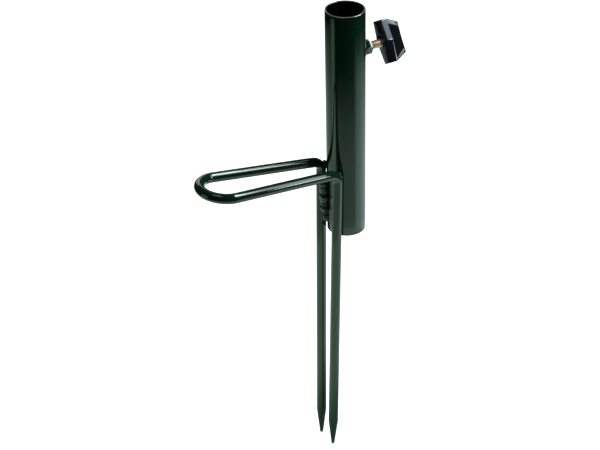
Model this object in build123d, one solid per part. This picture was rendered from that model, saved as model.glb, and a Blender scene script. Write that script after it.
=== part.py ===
from build123d import *
import math
import os

# Ground-spike rod holder: a steel tube that takes the rod, welded to one bent round bar whose middle
# makes the foot loop and whose two ends make the prongs, and a clamp screw in a nut on the tube's side.
# Millimetres, +Z up. Origin on the tube's axis at its lower end. The foot loop points along -X and the
# clamp screw along +X. Everything below Z = 0 goes into the ground.

# Overall sizes
TUBE_LENGTH = 235.0            # upright tube, lower end to rim
PRONG_DEPTH = 258.0            # lower end of the tube to the prong tips
LOOP_REACH = 140.0             # bar's centre line, elbow to the far end of the foot loop

# Stock sizes
TUBE_OD = 38.0
TUBE_WALL = 1.5
BAR_DIA = 10.0
SCREW_DIA = 8.0                # M8

# Foot loop and prongs
LOOP_HEIGHT = 72.5             # corner of the bar's centre line above the tube's lower end
LOOP_RISE = 7.9                # degrees the loop rises outwards
LOOP_WIDTH = 44.8              # between the bar's centre lines at the far end
LOOP_SKEW = 0.8                # the round end sits this far to the -Y side, as bent
BAR_SPACING = 29.8             # between the bar's centre lines at the elbows
TIP_SPACING = 22.7             # the same at the tips
TIP_LEAN = 6.8                 # how much farther out from the tube the tips are than the elbows
INNER_BEND = 4.0               # inner radius of the two elbows
TIP_LENGTH = 30.0              # cone of each prong
TIP_END_DIA = 3.2              # blunt end of the cone
TIP_ROUND = 1.2

# Clamp
SCREW_BELOW_RIM = 45.0
NUT_ACROSS_FLATS = 13.0
NUT_HEIGHT = 6.8
NUT_TURN = 12.5                # degrees, where the hexagon came to rest when it was welded on
NUT_CORNER_CUT = 0.9           # how far in the turned face starts from the corners
NUT_FACE_SLOPE = 1.8           # how far out the turned face goes for each mm down
STUD_LENGTH = 20.0             # screw that stands out of the knob
STUD_IN_KNOB = 12.0
STUD_SHOWN = 12.15             # nut face to the knob's boss at rest
POINT_CHAMFER = 1.0
KNOB_TURN = -30.5              # degrees, how far the wings are turned from upright at rest
KNOB_SPAN = 41.6               # across both wings
KNOB_TOP_SPAN = 29.8           # the same at the outer end
KNOB_STEP = 9.1                # part of the knob with full span
KNOB_LENGTH = 21.3
WING_TIP = 8.6                 # thickness at the wing tips
HUB_RIDGE = 14.8               # thickness over the middle
TOP_TIP = 8.6                  # the same two at the outer end
TOP_MIDDLE = 6.6
KNOB_ROUND = 0.9
BOSS_DIA = 14.0                # round boss under the knob
BOSS_HEIGHT = 1.2

# Welds
WELD_DIA = 7.6                 # round section of a bead before it is trimmed
WELD_LIFT = 1.2                # its middle above both surfaces that it joins
WELD_SIDE_LENGTH = 38.0        # bead down the groove between a bar and the tube
WELD_SIDE_BELOW = 19.0         # middle of its upper end under the elbow's corner
TACK_SIZE = 5.2                # bead on top of the elbows
TACK_DROP = 2.5                # its middle below the corner of the bar's centre line
NUT_BEAD = 1.4                 # leg of the bead round the nut's foot
NUT_BEAD_SPREAD = 2.8          # how far the bead's foot stands out from the nut's corners
NUT_BEAD_BITE = 0.2            # how far its top edge lies inside the corners

# Clearances
BAR_GAP = 0.15                 # bar to tube before welding
NUT_GAP = 0.8                  # nut to tube, filled by its weld
THREAD_FIT = 0.05              # radial, plain stand-in for the thread
HOLE_FIT = 0.5                 # radial, screw hole in the tube's wall
KNOB_END_GAP = 0.3             # behind the screw's inner end
RIM_BREAK = 0.3                # broken outer edge of the tube
CUT_PAST = 1.0                 # how far a cutter runs past the face it opens

# Derived sizes and places
TUBE_R = TUBE_OD / 2
BORE_R = TUBE_R - TUBE_WALL
BAR_R = BAR_DIA / 2
BEND_R = INNER_BEND + BAR_R
SCREW_R = SCREW_DIA / 2
SCREW_Z = TUBE_LENGTH - SCREW_BELOW_RIM
BAR_OUT = math.sqrt((TUBE_R + BAR_R + BAR_GAP) ** 2 - (BAR_SPACING / 2) ** 2)
NUT_X = TUBE_R + NUT_GAP
NUT_FACE_X = NUT_X + NUT_HEIGHT
BOSS_X = NUT_FACE_X + STUD_SHOWN
KNOB_X = BOSS_X + BOSS_HEIGHT
STUD_X = BOSS_X - STUD_LENGTH
NUT_CORNER_R = NUT_ACROSS_FLATS / math.sqrt(3)
RISE = math.radians(LOOP_RISE)
OUT = Vector(-math.cos(RISE), 0, math.sin(RISE))      # the way the foot loop points
SIDE = Vector(0, 1, 0)


def elbow_corner(sign):
    """Corner of the bar's centre line beside the tube, on the +Y or -Y side."""
    return Vector(-BAR_OUT, sign * BAR_SPACING / 2, LOOP_HEIGHT)


def tip_point(sign):
    return Vector(-BAR_OUT - TIP_LEAN, sign * TIP_SPACING / 2, -PRONG_DEPTH)


def prong_direction(sign):
    """Unit vector down the prong."""
    return (tip_point(sign) - elbow_corner(sign)).normalized()


def loop_centre():
    """Centre of the loop's round end."""
    run = LOOP_REACH - LOOP_WIDTH / 2
    return Vector(-BAR_OUT, 0, LOOP_HEIGHT) + OUT * run - SIDE * LOOP_SKEW


def loop_point(angle):
    """Point of the loop's round end; 0 is its far end, positive angles go to the +Y side."""
    return loop_centre() + (OUT * math.cos(angle) + SIDE * math.sin(angle)) * (LOOP_WIDTH / 2)


def arm_angle(sign):
    """Angle on the round end where the straight arm from one elbow meets it without a kink."""
    arm = elbow_corner(sign) - loop_centre()
    along, side = arm.dot(OUT), arm.dot(SIDE)
    facing = math.atan2(side, along)
    return facing - sign * math.acos(LOOP_WIDTH / 2 / math.hypot(along, side))


def bend(corner, towards_a, towards_b, radius):
    """Start, middle and end of a bend of the given radius at a corner of the centre line."""
    a, b = towards_a.normalized(), towards_b.normalized()
    half = math.acos(max(-1.0, min(1.0, a.dot(b)))) / 2
    reach = radius / math.tan(half)
    middle = (a + b).normalized()
    centre = corner + middle * (radius / math.sin(half))
    return corner + a * reach, centre - middle * radius, corner + b * reach


def bar_path():
    """Centre line from one prong's cone, up, out round the loop, back and down to the other cone."""
    side = {}
    for sign in (1, -1):
        corner, down = elbow_corner(sign), prong_direction(sign)
        arm_end = loop_point(arm_angle(sign))
        low, mid, high = bend(corner, down, arm_end - corner, BEND_R)
        side[sign] = (tip_point(sign) - down * TIP_LENGTH, low, mid, high, arm_end)
    shoulder, low, mid, high, arm_end = side[1]
    edges = [Line(shoulder, low), ThreePointArc(low, mid, high), Line(high, arm_end)]
    edges += [ThreePointArc(arm_end, loop_point(0), side[-1][4])]
    shoulder, low, mid, high, arm_end = side[-1]
    edges += [Line(arm_end, high), ThreePointArc(high, mid, low), Line(low, shoulder)]
    return Wire([e.edge() for e in edges])


def prong_cone(sign):
    """Cone at the end of a prong, with a blunt rounded end."""
    down = prong_direction(sign)
    base = tip_point(sign) - down * TIP_LENGTH
    half = TIP_END_DIA / 2
    profile = Polyline((0, 0), (BAR_R, 0), (half, TIP_LENGTH), (0, TIP_LENGTH), close=True)
    face = make_face(profile)
    blunt = [v for v in face.vertices() if abs(v.X - half) < 1e-6 and abs(v.Y - TIP_LENGTH) < 1e-6]
    face = fillet(blunt, TIP_ROUND)
    cone = revolve(face, Axis.Y)
    plane = Plane(origin=base, x_dir=SIDE, z_dir=down)
    return plane * (Rot(90, 0, 0) * cone)


def fork_bar():
    path = bar_path()
    start = Plane(origin=path @ 0, z_dir=path % 0)
    bar = sweep(start * Circle(BAR_R), path=path)
    return bar + prong_cone(1) + prong_cone(-1)


def socket_tube():
    tube = Cylinder(TUBE_R, TUBE_LENGTH, align=(Align.CENTER, Align.CENTER, Align.MIN))
    tube -= Cylinder(BORE_R, TUBE_LENGTH, align=(Align.CENTER, Align.CENTER, Align.MIN))
    outer = [e for e in tube.edges().filter_by(GeomType.CIRCLE) if e.radius > BORE_R + TUBE_WALL / 2]
    tube = chamfer(outer, RIM_BREAK)
    hole = Cylinder(SCREW_R + HOLE_FIT, TUBE_R, align=(Align.CENTER, Align.CENTER, Align.MIN))
    return tube - Pos(TUBE_R / 2, 0, SCREW_Z) * Rot(0, 90, 0) * hole


def along_x(x, radius, length):
    """Round bar on the screw's axis, starting at x."""
    rod = Cylinder(radius, length, align=(Align.CENTER, Align.CENTER, Align.MIN))
    return Pos(x, 0, SCREW_Z) * Rot(0, 90, 0) * rod


def clamp_nut():
    hexagon = extrude(RegularPolygon(NUT_CORNER_R, 6), NUT_HEIGHT)
    face_r = NUT_CORNER_R - NUT_CORNER_CUT
    dome = Cone(face_r + NUT_HEIGHT * NUT_FACE_SLOPE, face_r, NUT_HEIGHT,
                align=(Align.CENTER, Align.CENTER, Align.MIN))
    nut = Pos(NUT_X, 0, SCREW_Z) * Rot(NUT_TURN, 0, 0) * Rot(0, 90, 0) * (hexagon & dome)
    return nut - along_x(NUT_X - CUT_PAST, SCREW_R + THREAD_FIT, NUT_HEIGHT + 2 * CUT_PAST)


def clamp_screw():
    """Plain stand-in for the threaded stud, as thick as the thread."""
    stud = along_x(STUD_X, SCREW_R, STUD_LENGTH + STUD_IN_KNOB)
    return chamfer(stud.edges().filter_by(GeomType.CIRCLE).sort_by(Axis.X)[0], POINT_CHAMFER)


def wing_section(x, span, tip, middle):
    """Six-sided outline across the knob: thick over the middle, thinner at the wing tips."""
    half, t, m = span / 2, tip / 2, middle / 2
    pts = [(-half, -t), (0, -m), (half, -t), (half, t), (0, m), (-half, t)]
    return Plane(origin=(x, 0, 0), x_dir=(0, 0, 1), z_dir=(1, 0, 0)) * make_face(Polyline(pts, close=True))


def clamp_knob():
    full = extrude(wing_section(0, KNOB_SPAN, WING_TIP, HUB_RIDGE), KNOB_STEP, dir=(1, 0, 0))
    top = loft([wing_section(KNOB_STEP, KNOB_SPAN, WING_TIP, HUB_RIDGE),
                wing_section(KNOB_LENGTH, KNOB_TOP_SPAN, TOP_TIP, TOP_MIDDLE)], ruled=True)
    knob = full + top
    tips = [e for e in knob.edges() if min(abs(v.Z) for v in e.vertices()) > KNOB_ROUND]
    knob = fillet(tips, KNOB_ROUND)
    knob = Pos(KNOB_X, 0, SCREW_Z) * Rot(KNOB_TURN, 0, 0) * knob
    knob += along_x(BOSS_X, BOSS_DIA / 2, BOSS_HEIGHT + CUT_PAST)
    depth = STUD_IN_KNOB + KNOB_END_GAP
    return knob - along_x(BOSS_X - CUT_PAST, SCREW_R + THREAD_FIT, depth + CUT_PAST)


def groove_point(sign, z):
    """Middle of a bead at height z, in the groove between a bar and the tube that faces the other bar."""
    corner, down = elbow_corner(sign), prong_direction(sign)
    bar = corner + down * ((z - corner.Z) / down.Z)
    apart = math.hypot(bar.X, bar.Y)
    to_tube, to_bar = TUBE_R + WELD_LIFT, BAR_R + WELD_LIFT
    turn = math.acos((to_tube ** 2 + apart ** 2 - to_bar ** 2) / (2 * to_tube * apart))
    angle = math.atan2(bar.Y, bar.X) + sign * turn
    return Vector(to_tube * math.cos(angle), to_tube * math.sin(angle), z)


def weld_side(sign):
    """Bead down the inner groove between one bar and the tube, trimmed to both."""
    top = LOOP_HEIGHT - WELD_SIDE_BELOW
    a, b = groove_point(sign, top), groove_point(sign, top - WELD_SIDE_LENGTH + WELD_DIA)
    run = b - a
    rod = Plane(origin=a, z_dir=run.normalized()) * Cylinder(
        WELD_DIA / 2, run.length, align=(Align.CENTER, Align.CENTER, Align.MIN))
    ends = [Pos(p.X, p.Y, p.Z) * Sphere(WELD_DIA / 2) for p in (a, b)]
    return trimmed(rod + ends[0] + ends[1])


def weld_top(sign):
    """Tack between the top of an elbow and the tube."""
    corner = elbow_corner(sign)
    out = Vector(corner.X, corner.Y, 0).normalized()
    spot = out * (TUBE_R + BAR_GAP) + Vector(0, 0, LOOP_HEIGHT - TACK_DROP)
    return trimmed(Pos(spot.X, spot.Y, spot.Z) * Sphere(TACK_SIZE / 2))


def weld_nut():
    """Bead round the foot of the nut, trimmed to the nut and the tube."""
    foot = TUBE_R - math.sqrt(TUBE_R ** 2 - NUT_CORNER_R ** 2)
    start = TUBE_R - foot - NUT_BEAD
    height = NUT_X + NUT_BEAD - start
    ring = Cone(NUT_CORNER_R + NUT_BEAD_SPREAD, NUT_CORNER_R - NUT_BEAD_BITE, height,
                align=(Align.CENTER, Align.CENTER, Align.MIN))
    ring = Pos(start, 0, SCREW_Z) * Rot(0, 90, 0) * ring
    ring = ring - clamp_nut() - along_x(0, SCREW_R + HOLE_FIT, TUBE_OD)
    return ring - Cylinder(TUBE_R, TUBE_LENGTH, align=(Align.CENTER, Align.CENTER, Align.MIN))


def trimmed(bead):
    """A weld bead less the tube and the bar it joins, its largest piece only."""
    tube = Cylinder(TUBE_R, TUBE_LENGTH, align=(Align.CENTER, Align.CENTER, Align.MIN))
    rest = bead - tube - fork_bar()
    return max(rest.solids(), key=lambda s: s.volume)


def export_all(parts):
    os.makedirs("parts", exist_ok=True)
    for name, shape in parts.items():
        solids = shape.solids()
        body = solids[0] if len(solids) == 1 else shape
        body.label = name
        export_step(body, f"parts/{name}.step")
        box = shape.bounding_box()
        print(name, len(solids), "solid(s)", round(shape.volume, 1), "mm3", box.min, box.max)


if __name__ == "__main__":
    export_all({
        "socket_tube": socket_tube(),
        "fork_bar": fork_bar(),
        "clamp_nut": clamp_nut(),
        "clamp_screw": clamp_screw(),
        "clamp_knob": clamp_knob(),
        "weld_side_a": weld_side(1),
        "weld_side_b": weld_side(-1),
        "weld_top_a": weld_top(1),
        "weld_top_b": weld_top(-1),
        "weld_nut": weld_nut(),
    })
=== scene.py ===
# %% [markdown]
# # A ground-spike rod holder
# A painted steel tube takes the butt of a rod. One bent round bar is welded beside it: its middle is the
# foot loop and its two ends are the prongs. A wing screw in a welded nut clamps the rod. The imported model
# already holds every size and place, so the lesson is about surfaces: rounded edges, a real thread,
# lumpy welds and a gloss enamel that mirrors what stands round it.

# %% Load the frame
import math

import bmesh
import bpy
from mathutils import Matrix, Vector, noise


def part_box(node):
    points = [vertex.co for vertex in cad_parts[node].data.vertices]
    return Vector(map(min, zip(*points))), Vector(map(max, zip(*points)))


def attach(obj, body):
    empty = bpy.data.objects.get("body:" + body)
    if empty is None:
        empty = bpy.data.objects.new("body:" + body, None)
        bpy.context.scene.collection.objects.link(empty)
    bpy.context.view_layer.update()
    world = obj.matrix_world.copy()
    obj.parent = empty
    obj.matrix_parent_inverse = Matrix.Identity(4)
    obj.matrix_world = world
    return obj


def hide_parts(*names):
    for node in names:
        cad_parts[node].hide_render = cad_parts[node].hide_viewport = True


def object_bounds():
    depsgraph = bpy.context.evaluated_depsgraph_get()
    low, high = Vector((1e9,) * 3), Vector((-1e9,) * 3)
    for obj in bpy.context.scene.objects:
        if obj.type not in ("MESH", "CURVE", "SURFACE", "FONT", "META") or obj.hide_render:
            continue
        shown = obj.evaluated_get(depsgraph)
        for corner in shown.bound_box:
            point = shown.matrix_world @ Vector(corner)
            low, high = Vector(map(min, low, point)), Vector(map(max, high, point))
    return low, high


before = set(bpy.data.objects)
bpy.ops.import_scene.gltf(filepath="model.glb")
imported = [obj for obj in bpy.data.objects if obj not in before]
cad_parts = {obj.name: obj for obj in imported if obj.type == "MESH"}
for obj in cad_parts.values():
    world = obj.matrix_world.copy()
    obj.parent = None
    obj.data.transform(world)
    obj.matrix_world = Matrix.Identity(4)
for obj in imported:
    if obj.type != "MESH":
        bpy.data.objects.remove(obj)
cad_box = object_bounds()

# %% [markdown]
# ## Sizes
# Places come from the frame's boxes, so a change in the model moves these pieces too. The bar's bends
# can't be read from a box, so the few sizes that shape its centre line are named here again.

# %% Sizes in metres
MM = 0.001
tube_low, tube_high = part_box("socket_tube")
nut_low, nut_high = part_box("clamp_nut")
stud_low, stud_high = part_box("clamp_screw")
knob_low, knob_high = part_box("clamp_knob")
TUBE_R = tube_high[0]
TUBE_LENGTH = tube_high[2]
BORE_R = TUBE_R - 1.5 * MM
SCREW_Z = (stud_low[2] + stud_high[2]) / 2
SCREW_R = (stud_high[2] - stud_low[2]) / 2
BAR_R = 5.0 * MM
ELBOW_Z = 72.5 * MM
ELBOW_HALF = 14.9 * MM
TIP_HALF = 11.35 * MM
TIP_LEAN = 6.8 * MM
TIP_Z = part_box("fork_bar")[0][2]
BEND_R = 9.0 * MM
LOOP_REACH = 140.0 * MM
LOOP_R = 22.4 * MM
LOOP_SKEW = 0.8 * MM
LOOP_RISE = math.radians(7.9)
BAR_OUT = math.sqrt((TUBE_R + BAR_R + 0.15 * MM) ** 2 - ELBOW_HALF ** 2)
print("tube radius", TUBE_R, "length", TUBE_LENGTH, "screw height", SCREW_Z)


# %% [markdown]
# ## A small language for nodes
# Adding nodes one by one makes long scripts. One function adds any node, with its settings first and then
# its inputs. One small class wraps a number socket, so that sums on sockets read like ordinary sums.

# %% Node helpers
def add_node(tree, kind, settings=None, **inputs):
    """Add a node. Settings are set first, then inputs by name, where _0 means the first socket."""
    node = tree.nodes.new(kind)
    for key, value in (settings or {}).items():
        setattr(node, key, value)
    for key, value in inputs.items():
        index = int(key[1:]) if key[0] == "_" and key[1:].isdigit() else key.replace("_", " ")
        socket = node.inputs[index]
        if isinstance(value, Number):
            value = value.socket
        if isinstance(value, bpy.types.NodeSocket):
            tree.links.new(value, socket)
        else:
            socket.default_value = value
    return node


class Number:
    """A number socket that can be added, multiplied and compared."""

    def __init__(self, socket):
        self.socket = socket
        self.tree = socket.id_data

    def sum(self, operation, *others, clamp=False):
        terms = {f"_{i + 1}": other for i, other in enumerate(others)}
        settings = {"operation": operation, "use_clamp": clamp}
        node = add_node(self.tree, "ShaderNodeMath", settings, _0=self, **terms)
        return Number(node.outputs[0])

    def swapped(self, operation, first):
        node = add_node(self.tree, "ShaderNodeMath", {"operation": operation}, _0=first, _1=self)
        return Number(node.outputs[0])

    def __add__(self, other):
        return self.sum("ADD", other)

    def __sub__(self, other):
        return self.sum("SUBTRACT", other)

    def __mul__(self, other):
        return self.sum("MULTIPLY", other)

    def __truediv__(self, other):
        return self.sum("DIVIDE", other)

    def __radd__(self, other):
        return self.sum("ADD", other)

    def __rmul__(self, other):
        return self.sum("MULTIPLY", other)

    def __rsub__(self, other):
        return self.swapped("SUBTRACT", other)

    def __rtruediv__(self, other):
        return self.swapped("DIVIDE", other)

    def limited(self):
        return self.sum("ADD", 0.0, clamp=True)

    def step(self, low, high):
        """0 below low, 1 above high, smooth between."""
        node = add_node(self.tree, "ShaderNodeMapRange", {"interpolation_type": "SMOOTHSTEP"},
                        Value=self, From_Min=low, From_Max=high)
        return Number(node.outputs["Result"])


def spots(tree, where, size, detail=2.0, rough=0.5, stretch=None):
    """Noise from 0 to 1 whose blobs are about as large as size, in metres."""
    if stretch:
        where = add_node(tree, "ShaderNodeMapping", None, Vector=where, Scale=stretch).outputs[0]
    node = add_node(tree, "ShaderNodeTexNoise", None,
                    Vector=where, Scale=1.0 / size, Detail=detail, Roughness=rough)
    return Number(node.outputs[0])


def blend_colour(tree, factor, first, second):
    """The first colour where factor is 0, the second where it is 1."""
    node = add_node(tree, "ShaderNodeMix", {"data_type": "RGBA"}, Factor=factor, _6=first, _7=second)
    return node.outputs[2]


def start_material(name):
    """A material with its tree, its shader and the object's own coordinates."""
    material = bpy.data.materials.new(name)
    material.use_nodes = True
    tree = material.node_tree
    shader = tree.nodes["Principled BSDF"]
    where = add_node(tree, "ShaderNodeTexCoord").outputs["Object"]
    return material, tree, shader, where


def split_place(tree, where):
    """The three coordinates of a place as numbers."""
    node = add_node(tree, "ShaderNodeSeparateXYZ", None, _0=where)
    return [Number(socket) for socket in node.outputs]


def distance_from_axis(x, y):
    return (x * x + y * y).sum("SQRT")


def raise_surface(tree, shader, *layers):
    """Chain bumps, each a height from 0 to 1 and how tall it is in metres."""
    normal = None
    for height, tall in layers:
        inputs = {"Height": height, "Distance": tall, "Strength": 1.0}
        if normal:
            inputs["Normal"] = normal
        normal = add_node(tree, "ShaderNodeBump", None, **inputs).outputs[0]
    tree.links.new(normal, shader.inputs["Normal"])


print("helpers ready")

# %% [markdown]
# ## Gloss enamel
# The real paint is a thick dark green enamel, nearly black where nothing bright is mirrored. Its surface
# isn't flat: long waves bend the reflections, and a fine orange peel breaks their edges. A few specks of
# dust are caught in it, and on sharp edges it is thin enough for grey steel to show. The colour could be
# one dark green with a high gloss, but then every surface would be equally smooth, and that looks like
# glass. So one function mixes noises of three sizes, and masks add the wear where hands and soil reach.


# %% Enamel
THICK_GREEN = (0.0018, 0.0130, 0.0062, 1)
THIN_GREEN = (0.0027, 0.0180, 0.0090, 1)
DUST_GREY = (0.045, 0.060, 0.050, 1)
BARE_STEEL = (0.36, 0.36, 0.35, 1)
# Painted shade: the near-black colour used inside the bore.
BORE_PAINTED_SHADE = (0.0004, 0.0014, 0.0009, 1)


def enamel(name, wear=None, shade=None, peel=0.0022, wave=0.020,
           peel_tall=4.2e-6, wave_tall=2.4e-5, rough=0.055):
    """Dark green enamel. wear masks bare steel, and shade masks a painted shade in black, both from the
    coordinates.
    """
    material, tree, shader, where = start_material(name)
    cloud = spots(tree, where, 0.035, 3.0)
    fine = spots(tree, where, 0.0035, 4.0, 0.6)
    deep = blend_colour(tree, cloud.step(0.35, 0.68), THICK_GREEN, THIN_GREEN)
    dust = spots(tree, where, 0.0011, 1.0).step(0.74, 0.80) * fine.step(0.45, 0.6)
    colour = blend_colour(tree, dust * 0.55, deep, DUST_GREY)
    # Painted shade: where the shade mask is 1, the colour turns nearly black.
    if shade:
        colour = blend_colour(tree, shade(tree, where), colour, BORE_PAINTED_SHADE)
    gloss = rough + cloud * 0.03 + fine.step(0.5, 0.75) * 0.04 + dust * 0.3
    metal = None
    if wear:
        bare = wear(tree, where, fine)
        colour = blend_colour(tree, bare, colour, BARE_STEEL)
        gloss = gloss + bare * 0.22
        metal = bare
    tree.links.new(colour, shader.inputs["Base Color"])
    tree.links.new(gloss.socket, shader.inputs["Roughness"])
    if metal:
        tree.links.new(metal.socket, shader.inputs["Metallic"])
    shader.inputs["IOR"].default_value = 1.5
    shader.inputs["Specular Tint"].default_value = (0.92, 1.0, 0.96, 1)
    peel_height = spots(tree, where, peel, 2.0)
    raise_surface(tree, shader, (spots(tree, where, wave, 1.0, stretch=(1, 1, 0.45)), wave_tall),
                  (peel_height, peel_tall), (dust, 1.2e-5))
    return material


def rim_wear(tree, where, fine):
    """Thin paint on the edges of both ends of the tube, broken up by the fine noise."""
    _, _, height = split_place(tree, where)
    top = height.step(TUBE_LENGTH - 0.55 * MM, TUBE_LENGTH - 0.12 * MM)
    foot = 1.0 - height.step(0.1 * MM, 0.5 * MM)
    return (top + foot * 0.5) * fine.step(0.30, 0.52) * 0.85


def bore_painted_shade(tree, where):
    """Painted shade: the bore is coloured nearly black inside, standing in for the shade that falls in it.
    """
    x, y, _ = split_place(tree, where)
    return 1.0 - distance_from_axis(x, y).step(BORE_R + 0.1 * MM, BORE_R + 0.5 * MM)


def tip_wear(tree, where, fine):
    """Scuffed paint on the last millimetres of the prongs."""
    _, _, height = split_place(tree, where)
    tips = 1.0 - height.step(TIP_Z + 1.5 * MM, TIP_Z + 9 * MM)
    scuffs = spots(tree, where, 0.0024, 5.0, 0.7).step(0.56, 0.62)
    return tips * scuffs * 0.8


tube_paint = enamel("green_enamel_tube", rim_wear, bore_painted_shade)
bar_paint = enamel("green_enamel_bar", tip_wear, peel=0.0018, wave=0.012, wave_tall=1.0e-5, rough=0.035)
weld_paint = enamel("green_enamel_weld", peel=0.0012, peel_tall=1.6e-5, wave=0.004,
                    wave_tall=6e-5, rough=0.18)
print("enamel", tube_paint.name, bar_paint.name, weld_paint.name)

# %% [markdown]
# ## Yellow zinc and black plastic
# The screw is zinc-plated and passivated, a metal with a warm tint that drifts between copper and straw,
# and grime lies in its roots. Both tints come from one slow noise, and the grime from a fine one.
# The knob is moulded in black plastic straight from a polished mould, so it is smoother than the paint.
# A faint cloud in its gloss and a few scuffs keep it from looking like black glass.


# %% Zinc and plastic
def zinc():
    material, tree, shader, where = start_material("yellow_zinc")
    drift = spots(tree, where, 0.004, 3.0)
    grime = spots(tree, where, 0.0009, 4.0, 0.65)
    warm = blend_colour(tree, drift.step(0.35, 0.65), (0.88, 0.60, 0.50, 1), (0.80, 0.58, 0.48, 1))
    colour = blend_colour(tree, grime.step(0.48, 0.68) * 0.6, warm, (0.26, 0.15, 0.11, 1))
    tree.links.new(colour, shader.inputs["Base Color"])
    tree.links.new((0.24 + grime * 0.22).socket, shader.inputs["Roughness"])
    shader.inputs["Metallic"].default_value = 1.0
    raise_surface(tree, shader, (grime, 1.2e-5))
    return material


def black_plastic():
    material, tree, shader, where = start_material("black_plastic")
    cloud = spots(tree, where, 0.012, 3.0)
    fine = spots(tree, where, 0.0007, 3.0)
    scuff = spots(tree, where, 0.0016, 5.0, 0.7, stretch=(1, 3, 0.6)).step(0.66, 0.74)
    colour = blend_colour(tree, cloud, (0.0030, 0.0030, 0.0042, 1), (0.0055, 0.0055, 0.0070, 1))
    tree.links.new(colour, shader.inputs["Base Color"])
    tree.links.new((0.045 + cloud * 0.04 + scuff * 0.16).socket, shader.inputs["Roughness"])
    shader.inputs["IOR"].default_value = 1.5
    shader.inputs["Specular Tint"].default_value = (0.80, 0.88, 1.0, 1)
    raise_surface(tree, shader, (cloud, 1.5e-5), (fine, 1.5e-6))
    return material


zinc_yellow, knob_black = zinc(), black_plastic()
print("metal and plastic", zinc_yellow.name, knob_black.name)

# %% [markdown]
# ## Building meshes from rings
# Most pieces here are a row of closed outlines joined by quads, like slices of a sausage. One function
# takes the outlines and closes both ends. It is the same idea whether the slices are round or winged.


# %% Ring helpers
def put_in_scene(obj):
    bpy.context.scene.collection.objects.link(obj)
    return obj


def from_rings(name, rings, material, closed=False):
    """Join rings of points, all with as many points, into a closed mesh."""
    mesh = bpy.data.meshes.new(name)
    bm = bmesh.new()
    loops = [[bm.verts.new(p) for p in ring] for ring in rings]
    pairs = list(zip(loops, loops[1:])) + ([(loops[-1], loops[0])] if closed else [])
    for a, b in pairs:
        for i in range(len(a)):
            j = (i + 1) % len(a)
            bm.faces.new((a[i], a[j], b[j], b[i]))
    if not closed:
        bm.faces.new(loops[0])
        bm.faces.new(loops[-1])
    bmesh.ops.recalc_face_normals(bm, faces=bm.faces)
    bm.to_mesh(mesh)
    bm.free()
    return finish_piece(put_in_scene(bpy.data.objects.new(name, mesh)), material)


def finish_piece(obj, material, smooth_to=35):
    """One material, and smooth shading that keeps edges sharper than smooth_to degrees."""
    obj.data.materials.clear()
    obj.data.materials.append(material)
    bm = bmesh.new()
    bm.from_mesh(obj.data)
    for face in bm.faces:
        face.smooth = True
    for edge in bm.edges:
        edge.smooth = len(edge.link_faces) == 2 and edge.calc_face_angle(0) < math.radians(smooth_to)
    bm.to_mesh(obj.data)
    bm.free()
    return obj


def bake_modifiers(obj):
    """Turn the piece and its modifiers into a plain mesh."""
    graph = bpy.context.evaluated_depsgraph_get()
    mesh = bpy.data.meshes.new_from_object(obj.evaluated_get(graph))
    obj.modifiers.clear()
    if obj.type == "MESH":
        obj.data = mesh
        return obj
    made = put_in_scene(bpy.data.objects.new(obj.name + "_mesh", mesh))
    name = obj.name
    bpy.data.objects.remove(obj)
    made.name = name
    return made


def join_shape(obj, other, operation):
    """Add another shape to the piece (UNION) or take it away (DIFFERENCE). The other shape is used up."""
    modifier = obj.modifiers.new("join", "BOOLEAN")
    modifier.operation, modifier.solver, modifier.object = operation, "EXACT", other
    obj = bake_modifiers(obj)
    bpy.data.objects.remove(other)
    return obj


def round_edges(obj, width, segments=3, angle=30):
    modifier = obj.modifiers.new("round", "BEVEL")
    modifier.width, modifier.segments = width, segments
    modifier.limit_method, modifier.angle_limit = "ANGLE", math.radians(angle)
    return bake_modifiers(obj)


def circle_yz(x, radius, z=SCREW_Z, count=48, turn=0.0):
    """A ring round the screw's axis."""
    angles = [turn + math.tau * i / count for i in range(count)]
    return [Vector((x, radius * math.cos(a), z + radius * math.sin(a))) for a in angles]


print("ring helpers ready")

# %% [markdown]
# ## The socket tube
# A cut length of drawn tube with its edges broken by a file. A plain cylinder would have knife edges that
# catch no light, so the wall's outline is drawn once, with a small round at each corner, and spun about
# the axis. The hole for the clamp screw is cut afterwards.


# %% Socket tube
def wall_outline():
    """The wall's section as (radius, height) points, all the way round."""
    outer_round, inner_round = 0.42 * MM, 0.30 * MM
    corners = [(TUBE_R, 0, -1, 1, outer_round), (TUBE_R, TUBE_LENGTH, -1, -1, outer_round),
               (BORE_R, TUBE_LENGTH, 1, -1, inner_round), (BORE_R, 0, 1, 1, inner_round)]
    outline = []
    for index, (radius, height, out, up, size) in enumerate(corners):
        centre = (radius + out * size, height + up * size)
        arc = [math.pi / 2 * i / 4 for i in range(5)]
        if index % 2:
            arc.reverse()
        for angle in arc:
            across, along = math.sin(angle), math.cos(angle)
            outline.append((centre[0] - out * size * across, centre[1] - up * size * along))
    return outline


def spun(outline, count):
    """One ring round Z for each point of the outline."""
    rings = []
    for radius, height in outline:
        angles = [math.tau * i / count for i in range(count)]
        rings.append([Vector((radius * math.cos(a), radius * math.sin(a), height)) for a in angles])
    return rings


def longer_walls(outline, gap):
    """Add points on the long straight walls."""
    filled = []
    for a, b in zip(outline, outline[1:] + outline[:1]):
        parts = max(1, round(math.dist(a, b) / gap))
        for i in range(parts):
            filled.append((a[0] + (b[0] - a[0]) * i / parts, a[1] + (b[1] - a[1]) * i / parts))
    return filled


wall = spun(longer_walls(wall_outline(), 9 * MM), 160)
socket_tube = from_rings("socket_tube_painted", wall, tube_paint, True)
HOLE_R = SCREW_R + 0.5 * MM
hole_ends = [circle_yz(TUBE_R - 6 * MM, HOLE_R), circle_yz(TUBE_R + 4 * MM, HOLE_R)]
hole = from_rings("hole", hole_ends, tube_paint)
socket_tube = finish_piece(join_shape(socket_tube, hole, "DIFFERENCE"), tube_paint)
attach(socket_tube, "holder")
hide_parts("socket_tube")
print("tube", len(socket_tube.data.polygons), "faces")

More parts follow.
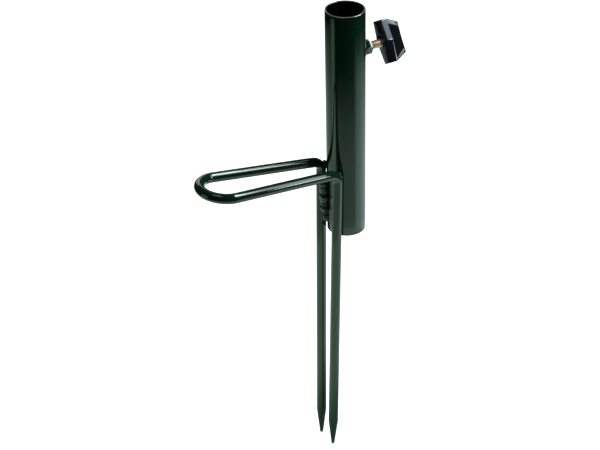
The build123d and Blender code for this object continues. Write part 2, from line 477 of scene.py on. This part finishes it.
# %% [markdown]
# ## The bent bar
# Prong, elbow, loop, elbow and prong are one length of round bar, so they are one piece here too. Its
# centre line is straight runs and arcs. Geometry Nodes carries a circle along it and lets the bar's
# radius shrink to a blunt point at both ends, which is how the real ends are ground.


# %% Centre line of the bar
LOOP_OUT = Vector((-math.cos(LOOP_RISE), 0, math.sin(LOOP_RISE)))
SIDEWAYS = Vector((0, 1, 0))


def elbow_corner(side):
    return Vector((-BAR_OUT, side * ELBOW_HALF, ELBOW_Z))


def prong_tip(side):
    return Vector((-BAR_OUT - TIP_LEAN, side * TIP_HALF, TIP_Z))


LOOP_CENTRE = Vector((-BAR_OUT, 0, ELBOW_Z)) + LOOP_OUT * (LOOP_REACH - LOOP_R) - SIDEWAYS * LOOP_SKEW


def loop_point(angle):
    return LOOP_CENTRE + (LOOP_OUT * math.cos(angle) + SIDEWAYS * math.sin(angle)) * LOOP_R


def arm_angle(side):
    """Where on the loop's round end the straight arm from one elbow meets it."""
    arm = elbow_corner(side) - LOOP_CENTRE
    along, across = arm.dot(LOOP_OUT), arm.dot(SIDEWAYS)
    return math.atan2(across, along) - side * math.acos(LOOP_R / math.hypot(along, across))


def elbow_arc(side, steps):
    """Points round the elbow from the prong to the arm, its sharp corner, and the way in from it."""
    corner = elbow_corner(side)
    down = (prong_tip(side) - corner).normalized()
    arm = (loop_point(arm_angle(side)) - corner).normalized()
    half = down.angle(arm) / 2
    inward = (down + arm).normalized()
    centre = corner + inward * (BEND_R / math.sin(half))
    start = corner + down * (BEND_R / math.tan(half)) - centre
    end = corner + arm * (BEND_R / math.tan(half)) - centre
    sweep = start.angle(end)
    points = []
    for i in range(steps + 1):
        t = i / steps
        ray = start * math.sin((1 - t) * sweep) + end * math.sin(t * sweep)
        points.append(centre + ray / math.sin(sweep))
    return points, corner, inward


def straight(a, b, gap):
    """Points from a towards b, without b."""
    parts = max(1, round((b - a).length / gap))
    return [a.lerp(b, i / parts) for i in range(parts)]


def ground_end(side):
    """Points along one ground end, close together at the very tip where it rounds over."""
    tip = prong_tip(side)
    up = (elbow_corner(side) - tip).normalized()
    from_tip = (0, 0.05, 0.15, 0.3, 0.5, 0.8, 1.2, 2, 4, 8, 14, 20, 26, 30, 31)
    return [tip + up * (distance * MM) for distance in from_tip]


def half_bar(side):
    """From one tip to the start of the loop's round end."""
    end = ground_end(side)
    bend, _, _ = elbow_arc(side, 20)
    prong = straight(end[-1], bend[0], 12 * MM)[1:]
    arm = straight(bend[-1], loop_point(arm_angle(side)), 10 * MM)[1:]
    return end + prong + bend + arm


def bar_centre_line():
    first, last = arm_angle(1), arm_angle(-1)
    steps = 60
    turn = [loop_point(first + (last - first) * i / steps) for i in range(steps + 1)]
    return half_bar(1) + turn + list(reversed(half_bar(-1)))


def curve_object(name, points):
    data = bpy.data.curves.new(name, "CURVE")
    data.dimensions = "3D"
    spline = data.splines.new("POLY")
    spline.points.add(len(points) - 1)
    for target, point in zip(spline.points, points):
        target.co = (*point, 1)
    return put_in_scene(bpy.data.objects.new(name, data))


line = bar_centre_line()
cut_length = sum((b - a).length for a, b in zip(line, line[1:]))
print("bar centre line", len(line), "points,", round(cut_length, 4), "m of bar")


# %% Geometry Nodes for what follows a path
def start_tree(name, inputs):
    """A geometry tree with named inputs. Returns the tree, its input node and its output node."""
    tree = bpy.data.node_groups.new(name, "GeometryNodeTree")
    tree.interface.new_socket("Geometry", in_out="INPUT", socket_type="NodeSocketGeometry")
    for label, (kind, value) in inputs.items():
        socket = tree.interface.new_socket(label, in_out="INPUT", socket_type=kind)
        socket.default_value = value
    tree.interface.new_socket("Geometry", in_out="OUTPUT", socket_type="NodeSocketGeometry")
    return tree, tree.nodes.new("NodeGroupInput"), tree.nodes.new("NodeGroupOutput")


def close_tree(tree, last, material, out):
    """Every tree ends the same way: instances made real, then the material."""
    real = add_node(tree, "GeometryNodeRealizeInstances", None, Geometry=last)
    done = add_node(tree, "GeometryNodeSetMaterial", None, Geometry=real.outputs[0], Material=material)
    tree.links.new(done.outputs[0], out.inputs[0])


def run_tree(obj, tree, values=None):
    """Put the tree on the object, set its inputs by their identifiers, and bake it to a plain mesh."""
    modifier = obj.modifiers.new(tree.name, "NODES")
    modifier.node_group = tree
    values = values or {}
    for item in tree.interface.items_tree:
        if item.item_type == "SOCKET" and item.in_out == "INPUT" and item.name in values:
            modifier[item.identifier] = values[item.name]
    bpy.context.view_layer.update()
    return bake_modifiers(obj)


FLOAT, WHOLE = "NodeSocketFloat", "NodeSocketInt"


def bar_tree():
    tree, given, out = start_tree("bar_along_line", {
        "Bar radius": (FLOAT, BAR_R), "Cone length": (FLOAT, 30 * MM),
        "Tip share": (FLOAT, 0.32), "Tip round": (FLOAT, 1.2 * MM), "Facets": (WHOLE, 40)})
    along = Number(add_node(tree, "GeometryNodeSplineParameter").outputs["Length"])
    whole = Number(add_node(tree, "GeometryNodeSplineLength").outputs["Length"])
    from_end = along.sum("MINIMUM", whole - along).sum("MAXIMUM", 0.0)
    share = Number(given.outputs["Tip share"])
    cone = share + (1.0 - share) * (from_end / given.outputs["Cone length"]).limited()
    rest = 1.0 - (from_end / given.outputs["Tip round"]).limited()
    blunt = share * 0.42 + share * 0.62 * (1.0 - rest * rest).sum("SQRT")
    radius = cone.sum("MINIMUM", blunt + from_end.sum("GREATER_THAN", 1.2 * MM))
    sized = add_node(tree, "GeometryNodeSetCurveRadius", None,
                     Curve=given.outputs["Geometry"], Radius=radius)
    circle = add_node(tree, "GeometryNodeCurvePrimitiveCircle", None,
                      Resolution=given.outputs["Facets"], Radius=given.outputs["Bar radius"])
    swept = add_node(tree, "GeometryNodeCurveToMesh", None, Curve=sized.outputs[0],
                     Profile_Curve=circle.outputs["Curve"], Scale=radius, Fill_Caps=True)
    close_tree(tree, swept.outputs[0], bar_paint, out)
    return tree


fork_bar = run_tree(curve_object("fork_bar_painted", line), bar_tree())
print("bar", len(fork_bar.data.polygons), "faces")


# %% Thinner elbows
def press_elbow(obj, side, depth=1.0 * MM, reach=17 * MM):
    """The outside of a tight bend stretches and thins: pull it in towards the inside of the bend."""
    centre_depth, spared, fade = 3.7 * MM, 2 * MM, 5 * MM
    _, corner, inward = elbow_arc(side, 2)
    middle = corner + inward * centre_depth
    for vertex in obj.data.vertices:
        away = vertex.co - middle
        outside = -away.dot(inward)
        if away.length < reach and outside > -spared:
            near = (1 - (away.length / reach) ** 2) ** 2
            vertex.co += inward * depth * near * min(1.0, (outside + spared) / fade)


for side in (1, -1):
    press_elbow(fork_bar, side)
bm = bmesh.new()
bm.from_mesh(fork_bar.data)
bmesh.ops.recalc_face_normals(bm, faces=bm.faces)
bm.to_mesh(fork_bar.data)
bm.free()
fork_bar = finish_piece(fork_bar, bar_paint)
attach(fork_bar, "holder")
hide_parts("fork_bar")
print("elbows pressed")

# %% [markdown]
# ## Weld beads
# A hand-laid bead is a row of overlapping puddles, each a little different. Geometry Nodes drops a
# ball of random size at each step along the groove, joins them through a volume so that they melt together,
# and roughens the result with noise. The paint over it keeps the lumps.


# %% Bead tree
def bead_tree():
    tree, given, out = start_tree("bead_along_line", {
        "Step": (FLOAT, 2.1 * MM), "Ball radius": (FLOAT, 3.6 * MM), "Unevenness": (FLOAT, 0.16),
        "Voxel": (FLOAT, 0.35 * MM), "Lump size": (FLOAT, 2.6 * MM),
        "Lump height": (FLOAT, 0.5 * MM), "Seed": (WHOLE, 3)})
    dots = add_node(tree, "GeometryNodeCurveToPoints", {"mode": "LENGTH"},
                    Curve=given.outputs["Geometry"], Length=given.outputs["Step"])
    ball = add_node(tree, "GeometryNodeMeshIcoSphere", None,
                    Radius=given.outputs["Ball radius"], Subdivisions=3)
    spread = Number(given.outputs["Unevenness"])
    size = add_node(tree, "FunctionNodeRandomValue", {"data_type": "FLOAT"},
                    _2=1.0 - spread, _3=1.0 + spread, Seed=given.outputs["Seed"])
    put = add_node(tree, "GeometryNodeInstanceOnPoints", None, Points=dots.outputs["Points"],
                   Instance=ball.outputs["Mesh"], Scale=size.outputs[1])
    real = add_node(tree, "GeometryNodeRealizeInstances", None, Geometry=put.outputs[0])
    volume = add_node(tree, "GeometryNodeMeshToVolume", {"resolution_mode": "VOXEL_SIZE"},
                      Mesh=real.outputs[0], Voxel_Size=given.outputs["Voxel"])
    skin = add_node(tree, "GeometryNodeVolumeToMesh", {"resolution_mode": "VOXEL_SIZE"},
                    Volume=volume.outputs[0], Voxel_Size=given.outputs["Voxel"], Threshold=0.1)
    lumps = add_node(tree, "ShaderNodeTexNoise", {"noise_dimensions": "3D"}, Scale=1.0, Detail=2.0,
                     Vector=add_node(tree, "ShaderNodeVectorMath", {"operation": "SCALE"},
                                     Vector=add_node(tree, "GeometryNodeInputPosition").outputs[0],
                                     Scale=1.0 / Number(given.outputs["Lump size"])).outputs[0])
    push = (Number(lumps.outputs[0]) - 0.5) * 2.0 * Number(given.outputs["Lump height"])
    offset = add_node(tree, "ShaderNodeVectorMath", {"operation": "SCALE"},
                      Vector=add_node(tree, "GeometryNodeInputNormal").outputs[0], Scale=push)
    moved = add_node(tree, "GeometryNodeSetPosition", None,
                     Geometry=skin.outputs[0], Offset=offset.outputs[0])
    close_tree(tree, moved.outputs[0], weld_paint, out)
    return tree


beads = bead_tree()


def bead(name, points, node, **values):
    """One bead along points, in place of a node."""
    chosen = {label.replace("_", " "): value for label, value in values.items()}
    piece = run_tree(curve_object(name, points), beads, chosen)
    piece = finish_piece(piece, weld_paint, 80)
    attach(piece, "holder")
    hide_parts(node)
    print(name, len(piece.data.polygons), "faces")
    return piece


# %% Beads in the grooves
WELD_LIFT = 1.2 * MM


def groove_point(side, height):
    """Middle of the bead in the inner groove between a prong and the tube."""
    corner, tip = elbow_corner(side), prong_tip(side)
    bar = corner + (tip - corner) * ((height - corner.z) / (tip.z - corner.z))
    apart = math.hypot(bar.x, bar.y)
    to_tube, to_bar = TUBE_R + WELD_LIFT, BAR_R + WELD_LIFT
    turn = math.acos((to_tube ** 2 + apart ** 2 - to_bar ** 2) / (2 * to_tube * apart))
    angle = math.atan2(bar.y, bar.x) + side * turn
    return Vector((to_tube * math.cos(angle), to_tube * math.sin(angle), height))


def side_bead(side, node, seed, fat, shift, tail=0.0):
    """The bead down one groove. tail is how much farther the bead runs on below it."""
    low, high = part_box(node)[0][2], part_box(node)[1][2]
    points = []
    for i in range(13):
        height = high - fat - (high - low - 2 * fat) * i / 12
        wander_x = noise.noise(Vector((seed, height * 90, 0)))
        wander_y = noise.noise(Vector((height * 90, seed, 5)))
        points.append(groove_point(side, height) + shift + Vector((wander_x, wander_y, 0)) * 0.8 * MM)
    for i in range(1, 4 if tail else 0):
        points.append(groove_point(side, low + fat - tail * i / 3) - shift * 0.4)
    return bead(f"{node}_painted", points, node, Seed=seed, Ball_radius=fat)


def tack(side, node, seed):
    """The small bead that closes the gap beside an elbow, longer along the tube than across."""
    low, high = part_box(node)
    middle = (Vector(low) + Vector(high)) / 2
    ends = [middle + Vector((-1.1, side * 1.2, 1.4)) * MM, middle + Vector((0.4, side * 1.6, -3.2)) * MM]
    return bead(f"{node}_painted", ends, node, Seed=seed,
                Ball_radius=2.5 * MM, Step=1.4 * MM, Lump_height=0.6 * MM)


side_bead(1, "weld_side_a", 3, 4.9 * MM, Vector((-2.1, -0.9, 0)) * MM, 12 * MM)
side_bead(-1, "weld_side_b", 8, 3.6 * MM, Vector((0, 0, 0)))
tack(1, "weld_top_a", 5)
tack(-1, "weld_top_b", 12)


# %% Bead round the nut's foot
def foot_ring():
    """A closed walk round the nut's foot, lying on the curved tube."""
    reach = (nut_high[2] - nut_low[2]) / 2 + 0.3 * MM
    points = []
    for i in range(49):
        angle = math.tau * i / 48
        y, z = reach * math.cos(angle), reach * math.sin(angle)
        points.append(Vector((math.sqrt(TUBE_R ** 2 - y * y) + 0.15 * MM, y, SCREW_Z + z)))
    return points


bead("weld_nut_painted", foot_ring(), "weld_nut", Seed=21, Ball_radius=1.25 * MM,
     Step=1.1 * MM, Voxel=0.25 * MM, Lump_size=1.6 * MM, Lump_height=0.22 * MM)

# %% [markdown]
# ## The nut
# A hexagon nut is a prism with both ends turned to a shallow cone, which leaves curved corners. Here each
# ring is the hexagon trimmed by a circle that shrinks towards the outer face, and the paint rounds what is
# left.


# %% Nut
NUT_TURN = math.radians(12.5)
NUT_FLATS = 13.0 * MM
NUT_CORNER = NUT_FLATS / math.sqrt(3)


def hexagon_ring(x, radius):
    """A ring of 96 points on a hexagon, or on a circle where that is smaller."""
    points = []
    for i in range(96):
        angle = math.tau * i / 96
        sector = (angle + math.pi / 6) % (math.pi / 3) - math.pi / 6
        reach = min(NUT_FLATS / 2 / math.cos(math.pi / 6 - abs(sector)), radius)
        turned = angle + NUT_TURN + math.pi / 2
        points.append(Vector((x, reach * math.cos(turned), SCREW_Z + reach * math.sin(turned))))
    return points


def nut_rings():
    """Out along the hexagon, over the face and back through the bore, all the way round."""
    start, face = nut_low[0], nut_high[0]
    hole_r, chamfer, slope = SCREW_R + 0.05 * MM, 0.9 * MM, 0.55
    rings = [hexagon_ring(start, NUT_CORNER)]
    for step in range(9):
        back = chamfer * slope * (1 - step / 8)
        rings.append(hexagon_ring(face - back, NUT_CORNER - chamfer + back / slope))
    bore = [(face, hole_r + 0.5 * MM), (face - 0.5 * MM, hole_r), (start, hole_r)]
    rings += [circle_yz(x, r, count=96, turn=NUT_TURN + math.pi / 2) for x, r in bore]
    return rings


clamp_nut = from_rings("clamp_nut_painted", nut_rings(), tube_paint, True)
clamp_nut = finish_piece(round_edges(clamp_nut, 0.25 * MM, 2, 25), tube_paint, 40)
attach(clamp_nut, "holder")
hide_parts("clamp_nut")
print("nut", len(clamp_nut.data.polygons), "faces")

# %% [markdown]
# ## The clamp screw's thread
# A screw thread is a rule: the surface rises and falls once for each turn and each pitch along the axis.
# So a plain rod, cut into fine rings by Geometry Nodes, has each point moved in or out by where it lies
# on the helix. That gives real crests and roots that close at the tip, with no boolean at all.

# %% Thread
PITCH = 1.25 * MM
THREAD_DEPTH = 0.66 * MM
STUD_START, STUD_END = stud_low[0], stud_high[0]


def thread_tree():
    tree, given, out = start_tree("threaded_rod", {
        "Pitch": (FLOAT, PITCH), "Depth": (FLOAT, THREAD_DEPTH), "Radius": (FLOAT, SCREW_R),
        "Point radius": (FLOAT, 2.7 * MM), "Rings per pitch": (FLOAT, 12.0), "Facets": (WHOLE, 40)})
    gap = Number(given.outputs["Pitch"]) / given.outputs["Rings per pitch"]
    cut = add_node(tree, "GeometryNodeResampleCurve", {"mode": "LENGTH"},
                   Curve=given.outputs["Geometry"], Length=gap)
    circle = add_node(tree, "GeometryNodeCurvePrimitiveCircle", None,
                      Resolution=given.outputs["Facets"], Radius=given.outputs["Radius"])
    rod = add_node(tree, "GeometryNodeCurveToMesh", None, Curve=cut.outputs[0],
                   Profile_Curve=circle.outputs["Curve"], Fill_Caps=True)
    x, y, z = split_place(tree, add_node(tree, "GeometryNodeInputPosition").outputs[0])
    turn = (z - SCREW_Z).sum("ARCTAN2", y) / math.tau
    phase = ((x - STUD_START) / given.outputs["Pitch"] - turn).sum("FRACT")
    wave = ((phase - 0.5).sum("ABSOLUTE") * 2.0 - 0.12) / 0.76
    radius = Number(given.outputs["Radius"]) - (1.0 - wave.limited()) * given.outputs["Depth"]
    point = Number(given.outputs["Point radius"]) + (x - STUD_START) * 1.2
    share = radius.sum("MINIMUM", point) / given.outputs["Radius"]
    moved = add_node(tree, "ShaderNodeCombineXYZ", None,
                     _0=x, _1=y * share, _2=(z - SCREW_Z) * share + SCREW_Z)
    shaped = add_node(tree, "GeometryNodeSetPosition", None,
                      Geometry=rod.outputs[0], Position=moved.outputs[0])
    close_tree(tree, shaped.outputs[0], zinc_yellow, out)
    return tree


stud_ends = [Vector((x, 0, SCREW_Z)) for x in (STUD_START, STUD_END)]
stud_line = curve_object("clamp_screw_threaded", stud_ends)
clamp_screw = finish_piece(run_tree(stud_line, thread_tree()), zinc_yellow, 50)
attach(clamp_screw, "screw")
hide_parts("clamp_screw")
print("screw", len(clamp_screw.data.polygons), "faces")

# %% [markdown]
# ## The wing knob
# Two flat wings grow out of a thick middle. They are widest near the tube and taper towards the outer end.
# A ridge runs over the middle, and the two halves of the mould left a fine raised line along it. A cube
# could be pushed into this shape by hand, but outlines keep it exact: it is lofted like the nut, with the
# ridge and its line drawn in the outline itself, and the outer edges rounded at the end.

# %% Wing knob
KNOB_TURN = math.radians(-30.5)
BOSS_X = knob_low[0]
KNOB_X = BOSS_X + 1.2 * MM
KNOB_END = knob_high[0]
STEP_X = KNOB_X + 9.1 * MM
WIDE_SPAN, END_SPAN = 20.8 * MM, 14.9 * MM
WIDE_MIDDLE, END_MIDDLE = 7.4 * MM, 3.3 * MM
WING_TIP = 4.3 * MM
FLASH_TALL, FLASH_WIDE = 0.22 * MM, 0.55 * MM


def wing_outline(x, half_span, half_tip, half_middle, ridge):
    """Outline across the knob: from one wing tip over the rounded ridge to the other, and back."""
    upper = []
    for i in range(41):
        u = math.copysign(abs(i / 20 - 1) ** 1.6, i - 20)
        soft = math.sqrt(u * u + ridge * ridge) - ridge
        share = soft / (math.sqrt(1 + ridge * ridge) - ridge)
        flash = FLASH_TALL * max(0.0, 1.0 - (u * half_span / FLASH_WIDE) ** 2)
        upper.append((u * half_span, half_middle + (half_tip - half_middle) * share + flash))
    lower = [(u, -v) for u, v in reversed(upper)]
    return [knob_place((x, v, u)) for u, v in upper + lower]


def knob_place(point):
    """Turn a point of the knob about the screw's axis to its rest place."""
    x, across, up = point
    spin = Matrix.Rotation(KNOB_TURN, 3, "X")
    turned = spin @ Vector((0, across, up))
    return Vector((x, turned.y, turned.z + SCREW_Z))


def knob_rings():
    """Two outlines on the straight part, then nine on the taper, where t goes from 0 to 1."""
    rings = [wing_outline(x, WIDE_SPAN, WING_TIP, WIDE_MIDDLE, 0.05) for x in (KNOB_X, STEP_X - 0.35 * MM)]
    for t in (0.0, 0.05, 0.2, 0.35, 0.5, 0.65, 0.8, 0.9, 1.0):
        x = STEP_X + (KNOB_END - STEP_X) * t
        half_span = WIDE_SPAN + (END_SPAN - WIDE_SPAN) * t
        half_middle = WIDE_MIDDLE + (END_MIDDLE - WIDE_MIDDLE) * t
        rings.append(wing_outline(x, half_span, WING_TIP, half_middle, 0.05 + 0.06 * t))
    return rings


clamp_knob = from_rings("clamp_knob_moulded", knob_rings(), knob_black)
clamp_knob = round_edges(clamp_knob, 0.8 * MM, 3, 40)
print("knob body", len(clamp_knob.data.polygons), "faces")


# %% Boss and screw socket
boss_profile = [(0.0, 6.4), (0.2, 6.8), (0.6, 7.0), (3.0, 7.0)]
boss_rings = [circle_yz(BOSS_X + x * MM, r * MM, count=64) for x, r in boss_profile]
boss = from_rings("boss", boss_rings, knob_black)
clamp_knob = join_shape(clamp_knob, boss, "UNION")
SOCKET_R = SCREW_R + 0.05 * MM
socket_ends = [circle_yz(BOSS_X - 1 * MM, SOCKET_R), circle_yz(STUD_END + 0.3 * MM, SOCKET_R)]
socket = from_rings("socket", socket_ends, knob_black)
clamp_knob = finish_piece(join_shape(clamp_knob, socket, "DIFFERENCE"), knob_black, 35)
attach(clamp_knob, "knob")
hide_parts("clamp_knob")
print("knob", len(clamp_knob.data.polygons), "faces")

# %% [markdown]
# ## Floor and light
# Gloss paint shows the room, not itself. An upright tube seen from above mirrors nothing but the floor in
# front of it, so the floor decides how the tube looks: pale near the foot, dark farther out, and brighter
# to the right. The floor that the eye sees is a plain white light table, hidden from the gloss. A second
# sheet just under it is seen by the gloss alone, so each can be shaded as it needs. Its shade is worked out
# from two numbers, the distance from the tube's axis and the direction.


# %% Floors
FLOOR_Z = cad_box[0][2] - 0.2 * MM
TABLE_GLOW = 0.75
VIEW_TURN = math.radians(30.49)


def floor_sheet(name, material, below, left, right, front, back):
    """A sheet turned to face the camera: +Y is away from it."""
    corners = [(left, front, 0), (right, front, 0), (right, back, 0), (left, back, 0)]
    mesh = bpy.data.meshes.new(name)
    mesh.from_pydata(corners, [], [(0, 1, 2, 3)])
    sheet = put_in_scene(bpy.data.objects.new(name, mesh))
    sheet.data.materials.append(material)
    sheet.location.z = FLOOR_Z - below
    sheet.rotation_euler.z = -VIEW_TURN
    return sheet


def light_table():
    """A white sheet with a very faint grain, which glows a little itself."""
    material, tree, shader, where = start_material("light_table")
    grain = spots(tree, where, 0.004, 3.0)
    white = blend_colour(tree, grain, (0.80, 0.80, 0.80, 1), (0.83, 0.83, 0.83, 1))
    tree.links.new(white, shader.inputs["Base Color"])
    shader.inputs["Roughness"].default_value = 0.9
    shader.inputs["Emission Color"].default_value = (1, 1, 1, 1)
    shader.inputs["Emission Strength"].default_value = TABLE_GLOW
    return material


def mirrored_floor():
    """How bright the floor is to the gloss: near the foot, farther out, and by direction."""
    material, tree, shader, where = start_material("mirrored_floor")
    x, y, _ = split_place(tree, where)
    away = distance_from_axis(x, y)
    turn = x.sum("ARCTAN2", 0.0 - y)
    left_turn = 0.0 - turn
    middle = (0.35 + 1.0 * away.step(0.04, 0.16)) * (1.0 - away.step(0.41, 0.46))
    middle = middle + 0.80 * away.step(0.41, 0.46) * (1.0 - away.step(0.56, 0.92))
    right = turn.step(0.75, 1.2) * (1.0 - 0.6 * turn.step(1.8, 2.3))
    right_side = right * 0.85 * away.step(0.36, 0.46) * (1.0 - away.step(0.82, 1.02))
    streak = left_turn.step(1.08, 1.16) * (1.0 - left_turn.step(1.46, 1.62))
    left_side = streak * 0.80 * away.step(0.50, 0.70) * (1.0 - 0.4 * away.step(0.9, 1.3))
    left_back = left_turn.step(1.5, 1.7) * 0.36 * away.step(0.60, 0.80) * (1.0 - away.step(0.88, 1.08))
    shade = left_turn.step(0.86, 0.92) * (1.0 - left_turn.step(1.02, 1.09)) * away.step(0.55, 0.62)
    level = middle * (1.0 - shade) + right_side + left_side + left_back
    cool = blend_colour(tree, right, (0.73, 1.0, 0.79, 1), (0.77, 1.0, 0.97, 1))
    tint = add_node(tree, "ShaderNodeVectorMath", {"operation": "SCALE"}, Vector=cool, Scale=level)
    tree.links.new(tint.outputs[0], shader.inputs["Emission Color"])
    shader.inputs["Base Color"].default_value = (0, 0, 0, 1)
    shader.inputs["Emission Strength"].default_value = 1.0
    shader.inputs["Specular IOR Level"].default_value = 0.0
    return material


table = floor_sheet("light_table", light_table(), 0.0, -2.6, 2.6, -0.14, 3.2)
table.visible_glossy = False
mirrored = floor_sheet("mirrored_floor", mirrored_floor(), 0.4 * MM, -1.4, 1.4, -1.4, 1.4)
mirrored.visible_camera = False
print("floor at", round(FLOOR_Z, 4))


# %% [markdown]
# ## Soft boxes
# The arms of the loop are thin gloss rods, and a rod squeezes a whole room into a few thin lines. Each
# bright line along them is one soft box seen in the paint. So the tall box on the right is three boxes,
# one in the other, each brighter than the last: its line has a bright core that fades to its ends. A low
# box gives the second, thinner line. The cards behind and on the left keep the far sides from going black.

# %% Lights
def soft_light(name, place, aim, size, glow, colour=(1, 1, 1), in_gloss=True, lean=0):
    """A soft box. place and aim are right, away and up from the camera's side; glow is its brightness."""
    data = bpy.data.lights.new(name, "AREA")
    data.shape = "RECTANGLE"
    data.size, data.size_y = size
    data.energy = glow * 4.0 * size[0] * size[1]
    data.color = colour
    lamp = put_in_scene(bpy.data.objects.new(name, data))
    turn = Matrix.Rotation(-VIEW_TURN, 3, "Z")
    lamp.location = turn @ Vector(place)
    faces = (turn @ Vector(aim) - lamp.location).to_track_quat("-Z", "Y").to_matrix()
    lamp.rotation_euler = (faces @ Matrix.Rotation(math.radians(lean), 3, "Z")).to_euler()
    lamp.visible_glossy = in_gloss
    lamp.visible_camera = False
    return lamp


cool = (0.92, 1.0, 1.03)
soft_light("tall_box", (0.70, 0.17, 1.114), (0, 0.17, 1.114), (1.28, 0.46), 3.8, cool, lean=45)
soft_light("tall_box_middle", (0.69, 0.198, 1.255), (0, 0.198, 1.255), (1.12, 0.32), 6.0, cool, lean=45)
soft_light("tall_box_core", (0.685, 0.198, 1.255), (0, 0.198, 1.255), (1.0, 0.28), 7.0, cool, lean=45)
soft_light("low_box", (0.70, -0.165, 0.485), (0, -0.165, 0.485), (0.60, 0.10), 4.2, cool, lean=66.5)
soft_light("low_box_middle", (0.69, -0.285, 0.272), (0, -0.285, 0.272), (0.13, 0.09), 12.5, cool, lean=66.5)
soft_light("overhead", (-0.21, -0.16, 1.15), (-0.08, 0, 0.08), (0.4, 0.3), 2.2)
soft_light("back_card", (-0.42, 1.30, 0.55), (0, 0, 0.1), (0.80, 0.65), 1.25)
soft_light("left_card", (-1.10, -0.42, 0.12), (0, 0, 0.1), (0.5, 0.3), 1.2)
soft_light("table_light", (0.0, 1.2, 1.9), (0, 0.9, -0.25), (2.6, 1.6), 1.6, in_gloss=False)


def pale_room(dim, bright):
    """A plain room: pale where it is looked at, dim in what it lights and mirrors."""
    world = bpy.data.worlds.new("room")
    bpy.context.scene.world = world
    world.use_nodes = True
    tree = world.node_tree
    seen = add_node(tree, "ShaderNodeLightPath").outputs["Is Camera Ray"]
    level = dim + Number(seen) * (bright - dim)
    tree.links.new(level.socket, tree.nodes["Background"].inputs["Strength"])
    tree.nodes["Background"].inputs["Color"].default_value = (1, 1, 1, 1)


pale_room(0.03, 1.0)
bpy.context.scene.view_settings.view_transform = "Standard"

# %% [markdown]
# ## Camera
# The camera looks down at the holder with a long lens. It stands so that the loop comes out of the picture
# to the left, and the whole holder, rim to tips, fills the height.

# %% Camera
VIEW_DOWN = math.radians(32.25)
VIEW_TILT = math.radians(-1.36)
VIEW_DISTANCE = 1.649
VIEW_ASIDE, VIEW_UP = -0.046, 0.00065
LENS, SENSOR = 99.77, 36


def place_camera():
    level_ahead = Vector((math.sin(VIEW_TURN), math.cos(VIEW_TURN), 0))
    ahead = level_ahead * math.cos(VIEW_DOWN) - Vector((0, 0, math.sin(VIEW_DOWN)))
    level_right = Vector((math.cos(VIEW_TURN), -math.sin(VIEW_TURN), 0))
    level_up = level_right.cross(ahead)
    right = level_right * math.cos(VIEW_TILT) + level_up * math.sin(VIEW_TILT)
    up = level_up * math.cos(VIEW_TILT) - level_right * math.sin(VIEW_TILT)
    data = bpy.data.cameras.new("view")
    data.lens, data.sensor_width = LENS, SENSOR
    camera = put_in_scene(bpy.data.objects.new("view", data))
    place = right * VIEW_ASIDE + up * VIEW_UP - ahead * VIEW_DISTANCE
    camera.matrix_world = Matrix((right, up, -ahead)).transposed().to_4x4()
    camera.matrix_world.translation = place
    return camera


bpy.context.scene.camera = place_camera()
print("camera at", [round(v, 3) for v in bpy.context.scene.camera.matrix_world.translation])
